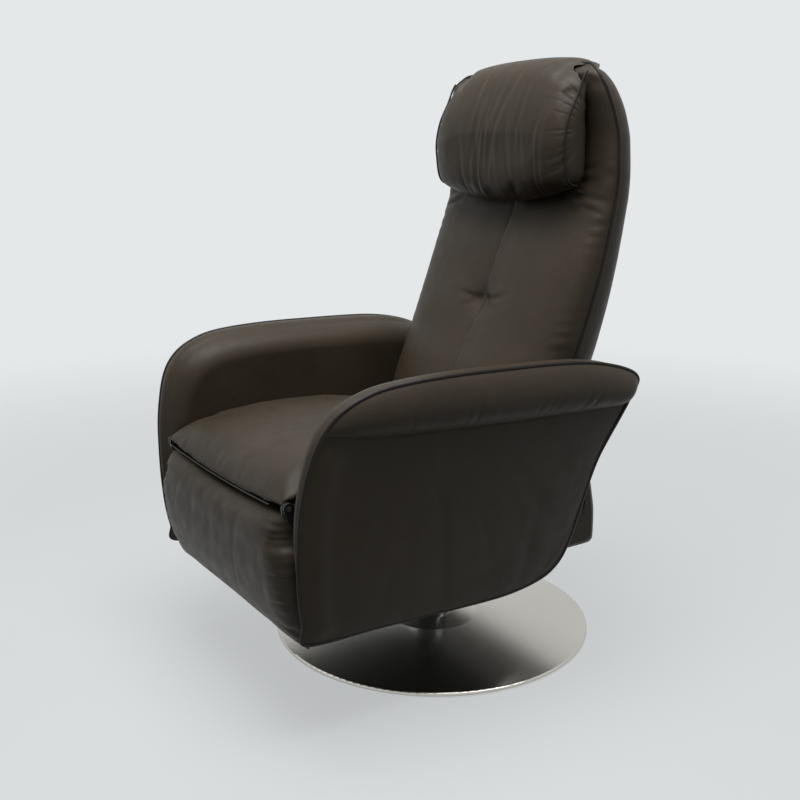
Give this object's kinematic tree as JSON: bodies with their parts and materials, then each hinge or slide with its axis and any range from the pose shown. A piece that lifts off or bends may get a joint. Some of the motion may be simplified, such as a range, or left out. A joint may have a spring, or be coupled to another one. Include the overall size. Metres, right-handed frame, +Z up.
{
  "type": "swivel relax recliner",
  "caption": "Leather swivel recliner on a round steel disc base, with curved arms, a tilting head section, a reclining back and a fold-out footrest.",
  "frame": {"origin": "on the floor at the swivel axis", "axes": "+Z up; the sitter faces -Y; the sitter's left arm is at +X"},
  "size_m": [0.7172, 0.7935, 1.1182],
  "materials": {
    "leather": "satin",
    "felt": "matte",
    "ballast_steel": "satin",
    "base_steel": "polished",
    "chrome_tube": "polished",
    "zinc_steel": "satin",
    "frame_steel": "satin",
    "nylon": "matte",
    "plywood": "matte",
    "webbing": "matte",
    "dust_cover": "matte",
    "lever_plastic": "satin"
  },
  "bodies": {
    "base": {"floor_pad": "felt", "base_plate": "ballast_steel", "base_cover": "base_steel", "column": "chrome_tube", "column_bolts": "zinc_steel", "column_collar": "chrome_tube", "swivel_spindle": "zinc_steel", "swivel_washer": "nylon"},
    "seat": {"swivel_housing": "frame_steel", "mounting_plate": "frame_steel", "chassis_rails": "frame_steel", "lower_cross_tubes": "frame_steel", "front_cross_tube": "frame_steel", "side_rail_left": "frame_steel", "side_rail_right": "frame_steel", "webbing_rails": "plywood", "seat_webbing": "webbing", "seat_cushion": "leather", "arm_board_left": "plywood", "arm_board_right": "plywood", "arm_spacers": "plywood", "arm_bolts": "zinc_steel", "arm_outer_left": "leather", "arm_outer_right": "leather", "arm_band_left": "leather", "arm_band_right": "leather", "arm_pad_left": "leather", "arm_pad_right": "leather", "rear_cover": "leather", "underside_cover": "dust_cover", "lever_pin": "zinc_steel", "spring_seat_bracket": "frame_steel", "spring_seat_bolt": "zinc_steel"},
    "release_lever": {"release_lever": "lever_plastic"},
    "footrest": {"footrest_pad": "leather", "footrest_board": "plywood", "footrest_hinge_arms": "frame_steel", "footrest_hinge_pins": "zinc_steel", "footrest_brackets": "frame_steel", "footrest_rod_pins": "zinc_steel"},
    "crank": {"footrest_crank": "frame_steel", "crank_pins": "zinc_steel"},
    "push_rods": {"push_rods": "frame_steel"},
    "back": {"back_pivot_tube": "frame_steel", "back_side_boards": "plywood", "back_cross_rails": "plywood", "back_webbing": "webbing", "back_cushion": "leather", "back_shell": "leather", "spring_back_bolt": "zinc_steel", "head_hinge_lower": "zinc_steel", "head_hinge_pins": "zinc_steel"},
    "head": {"head_hinge_upper": "zinc_steel", "head_board": "plywood", "head_cushion": "leather", "head_shell": "leather", "head_pillow": "leather"},
    "gas_cylinder": {"gas_cylinder": "frame_steel"},
    "gas_rod": {"gas_rod": "chrome_tube"}
  },
  "joints": [
    {"name": "seat_swivel", "type": "hinge", "parent": "base", "child": "seat", "pos_m": [0, 0, 0.15], "axis": [0, 0, 1], "continuous": true},
    {"name": "back_recline", "type": "hinge", "parent": "seat", "child": "back", "pos_m": [0, 0.115, 0.385], "axis": [-1, 0, 0], "range_deg": [0, 34]},
    {"name": "head_tilt", "type": "hinge", "parent": "back", "child": "head", "pos_m": [0, 0.209, 0.855], "axis": [1, 0, 0], "range_deg": [0, 22]},
    {"name": "footrest_swing", "type": "hinge", "parent": "seat", "child": "footrest", "pos_m": [0, -0.448, 0.4], "axis": [-1, 0, 0], "range_deg": [0, 80]},
    {"name": "crank_swing", "type": "hinge", "parent": "seat", "child": "crank", "pos_m": [0, -0.245, 0.316], "axis": [-1, 0, 0], "range_deg": [0, 80]},
    {"name": "push_rod_turn", "type": "hinge", "parent": "crank", "child": "push_rods", "pos_m": [0, -0.187, 0.208], "axis": [-1, 0, 0], "range_deg": [-80, 0]},
    {"name": "gas_cylinder_tilt", "type": "hinge", "parent": "seat", "child": "gas_cylinder", "pos_m": [0, -0.065, 0.29], "axis": [-1, 0, 0], "range_deg": [0, 5.7]},
    {"name": "gas_rod_slide", "type": "slide", "parent": "gas_cylinder", "child": "gas_rod", "axis": [0, 0.9835, 0.1807], "range_m": [-0.043, 0]},
    {"name": "lever_pull", "type": "hinge", "parent": "seat", "child": "release_lever", "pos_m": [0.242, -0.19, 0.3], "axis": [-1, 0, 0], "range_deg": [0, 18], "stiffness_Nm_per_rad": 0.6, "springref_deg": -14.32}
  ],
  "couplings": [
    {"joint": "crank_swing", "follows": "footrest_swing", "ratio": 1},
    {"joint": "push_rod_turn", "follows": "footrest_swing", "ratio": -1},
    {"joint": "gas_cylinder_tilt", "follows": "back_recline", "ratio": 0.1656},
    {"joint": "gas_rod_slide", "follows": "back_recline", "m_per_rad": -0.0716}
  ]
}
